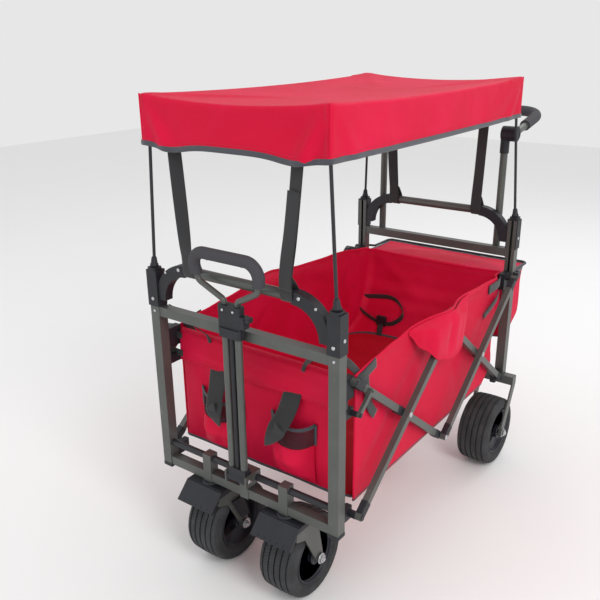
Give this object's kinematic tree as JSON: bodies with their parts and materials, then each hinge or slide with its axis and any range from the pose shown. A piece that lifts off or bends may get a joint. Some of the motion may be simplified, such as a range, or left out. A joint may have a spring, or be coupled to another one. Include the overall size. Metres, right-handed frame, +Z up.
{
  "type": "folding pull wagon",
  "caption": "Folding utility pull wagon: steel tube end frames on side scissors, red cloth basket, canopy on poles, rear bag, pull and push handles, wide castered wheels.",
  "frame": {"origin": "on the floor, midway between the left and right posts and between the front and rear posts", "axes": "-Y towards the pull handle (front), +X to the right-hand side of someone who stands in front and looks at the wagon, +Z up"},
  "size_m": [0.583, 1.1798, 1.092],
  "materials": {
    "frame_steel": "gunmetal powder coat, satin",
    "black_steel": "black powder coat, satin",
    "plastic_black": "fine moulded grain, matt",
    "fabric_red": "coated crimson polyester weave",
    "webbing_black": "ribbed black webbing and binding",
    "tyre": "moulded dark rubber, matt",
    "rim": "moulded dark plastic, satin",
    "bolt_steel": "bright zinc",
    "grip_foam": "closed foam sleeve, matt"
  },
  "bodies": {
    "rear_frame": {"rear_posts": "frame_steel", "rear_corner_caps": "plastic_black", "rear_cross_rails": "frame_steel", "rear_canopy_poles": "black_steel", "rear_canopy_straps": "webbing_black", "rear_pin_shoes": "plastic_black", "rear_axle_carrier": "frame_steel", "push_uprights": "frame_steel", "push_hinge_cheeks": "plastic_black", "basket_sides": "fabric_red", "basket_floor": "fabric_red", "basket_rear_wall": "fabric_red", "rear_bag": "fabric_red", "canopy": "fabric_red"},
    "bag_lid": {"bag_lid": "fabric_red", "bag_hoop": "black_steel"},
    "push_handle": {"push_handle_bar": "frame_steel", "push_handle_grip": "grip_foam", "push_handle_knuckles": "plastic_black"},
    "rear_wheel_left": {"rear_tyre_left": "tyre", "rear_rim_left": "rim"},
    "rear_wheel_right": {"rear_tyre_right": "tyre", "rear_rim_right": "rim"},
    "rear_low_arms": {"rear_low_arms": "frame_steel", "rear_arm_rivets": "bolt_steel"},
    "front_low_arms": {"front_low_arms": "frame_steel", "front_arm_rivets": "bolt_steel"},
    "front_high_arms": {"front_high_arms": "frame_steel"},
    "rear_high_arms": {"rear_high_arms": "frame_steel", "middle_rivets": "bolt_steel"},
    "front_sliders": {"front_sliders": "plastic_black"},
    "rear_sliders": {"rear_sliders": "plastic_black"},
    "front_stays": {"front_stays": "frame_steel"},
    "stay_collars": {"stay_collars": "plastic_black"},
    "front_frame": {"front_posts": "frame_steel", "front_corner_caps": "plastic_black", "front_cross_rails": "frame_steel", "front_canopy_poles": "black_steel", "front_canopy_straps": "webbing_black", "front_pin_shoes": "plastic_black", "front_base": "frame_steel", "front_floor_bar": "black_steel", "pull_handle_pin": "bolt_steel", "basket_front_panel": "fabric_red"},
    "caster_left": {"caster_fork_left": "frame_steel", "caster_fender_left": "plastic_black"},
    "caster_right": {"caster_fork_right": "frame_steel", "caster_fender_right": "plastic_black"},
    "front_wheel_left": {"front_tyre_left": "tyre", "front_rim_left": "rim"},
    "front_wheel_right": {"front_tyre_right": "tyre", "front_rim_right": "rim"},
    "brake_left": {"brake_pedal_left": "plastic_black"},
    "brake_right": {"brake_pedal_right": "plastic_black"},
    "pull_handle": {"pull_handle_spine": "plastic_black", "pull_handle_tubes": "frame_steel", "pull_handle_clamp": "plastic_black"},
    "clamp_lever": {"clamp_lever": "plastic_black"},
    "pull_loop": {"pull_loop": "frame_steel", "pull_loop_grip": "grip_foam"}
  },
  "joints": [
    {"name": "fold", "type": "hinge", "parent": "rear_frame", "child": "rear_low_arms", "pos_m": [0, 0.395, 0.26], "axis": [-1, 0, 0], "range_deg": [0, 34], "deforming": ["basket_sides", "basket_floor", "canopy", "basket_rear_wall"]},
    {"name": "front_low_arms_turn", "type": "hinge", "parent": "rear_low_arms", "child": "front_low_arms", "pos_m": [0, 0, 0.566], "axis": [1, 0, 0], "range_deg": [0, 69]},
    {"name": "front_frame_turn", "type": "hinge", "parent": "front_low_arms", "child": "front_frame", "pos_m": [0, -0.395, 0.26], "axis": [-1, 0, 0], "range_deg": [0, 35]},
    {"name": "front_high_arms_turn", "type": "hinge", "parent": "front_low_arms", "child": "front_high_arms", "pos_m": [0, -0.1975, 0.413], "axis": [-1, 0, 0], "range_deg": [0, 69]},
    {"name": "front_sliders_turn", "type": "hinge", "parent": "front_high_arms", "child": "front_sliders", "pos_m": [0, -0.395, 0.566], "axis": [1, 0, 0], "range_deg": [0, 35]},
    {"name": "front_stays_turn", "type": "hinge", "parent": "front_high_arms", "child": "front_stays", "pos_m": [0, -0.35073, 0.5317], "axis": [1, 0, 0], "range_deg": [0, 69]},
    {"name": "stay_collars_turn", "type": "hinge", "parent": "front_stays", "child": "stay_collars", "pos_m": [0, -0.395, 0.49741], "axis": [-1, 0, 0], "range_deg": [0, 35]},
    {"name": "rear_high_arms_turn", "type": "hinge", "parent": "rear_low_arms", "child": "rear_high_arms", "pos_m": [0, 0.1975, 0.413], "axis": [1, 0, 0], "range_deg": [0, 69]},
    {"name": "rear_sliders_turn", "type": "hinge", "parent": "rear_high_arms", "child": "rear_sliders", "pos_m": [0, 0.395, 0.566], "axis": [-1, 0, 0], "range_deg": [0, 35]},
    {"name": "rear_wheel_left_spin", "type": "hinge", "parent": "rear_frame", "child": "rear_wheel_left", "pos_m": [-0.232, 0.372, 0.1], "axis": [1, 0, 0], "continuous": true},
    {"name": "rear_wheel_right_spin", "type": "hinge", "parent": "rear_frame", "child": "rear_wheel_right", "pos_m": [0.232, 0.372, 0.1], "axis": [1, 0, 0], "continuous": true},
    {"name": "caster_left_swivel", "type": "hinge", "parent": "front_frame", "child": "caster_left", "pos_m": [-0.11, -0.437, 0.21], "axis": [0, 0, 1], "continuous": true},
    {"name": "caster_right_swivel", "type": "hinge", "parent": "front_frame", "child": "caster_right", "pos_m": [0.11, -0.437, 0.21], "axis": [0, 0, 1], "continuous": true},
    {"name": "front_wheel_left_spin", "type": "hinge", "parent": "caster_left", "child": "front_wheel_left", "pos_m": [-0.11, -0.387, 0.1], "axis": [1, 0, 0], "continuous": true},
    {"name": "front_wheel_right_spin", "type": "hinge", "parent": "caster_right", "child": "front_wheel_right", "pos_m": [0.11, -0.387, 0.1], "axis": [1, 0, 0], "continuous": true},
    {"name": "brake_left_press", "type": "hinge", "parent": "caster_left", "child": "brake_left", "pos_m": [-0.11, -0.387, 0.1], "axis": [1, 0, 0], "range_deg": [0, 18]},
    {"name": "brake_right_press", "type": "hinge", "parent": "caster_right", "child": "brake_right", "pos_m": [0.11, -0.387, 0.1], "axis": [1, 0, 0], "range_deg": [0, 18]},
    {"name": "pull_handle_swing", "type": "hinge", "parent": "front_frame", "child": "pull_handle", "pos_m": [0, -0.463, 0.29], "axis": [1, 0, 0], "range_deg": [0, 100]},
    {"name": "pull_loop_slide", "type": "slide", "parent": "pull_handle", "child": "pull_loop", "axis": [0, 0, 1], "range_m": [0, 0.23]},
    {"name": "clamp_lever_turn", "type": "hinge", "parent": "pull_handle", "child": "clamp_lever", "pos_m": [0.0293, -0.463, 0.664], "axis": [1, 0, 0], "range_deg": [0, 35]},
    {"name": "push_handle_tilt", "type": "hinge", "parent": "rear_frame", "child": "push_handle", "pos_m": [0, 0.4582, 0.944], "axis": [1, 0, 0], "range_deg": [-90, 50]},
    {"name": "bag_lid_lift", "type": "hinge", "parent": "rear_frame", "child": "bag_lid", "pos_m": [0, 0.437, 0.562], "axis": [1, 0, 0], "range_deg": [0, 60]}
  ],
  "couplings": [
    {"joint": "front_low_arms_turn", "follows": "fold", "ratio": 2},
    {"joint": "front_frame_turn", "follows": "fold", "ratio": 1},
    {"joint": "front_high_arms_turn", "follows": "fold", "ratio": 2},
    {"joint": "front_sliders_turn", "follows": "fold", "ratio": 1},
    {"joint": "front_stays_turn", "follows": "fold", "ratio": 2},
    {"joint": "stay_collars_turn", "follows": "fold", "ratio": 1},
    {"joint": "rear_high_arms_turn", "follows": "fold", "ratio": 2},
    {"joint": "rear_sliders_turn", "follows": "fold", "ratio": 1}
  ]
}
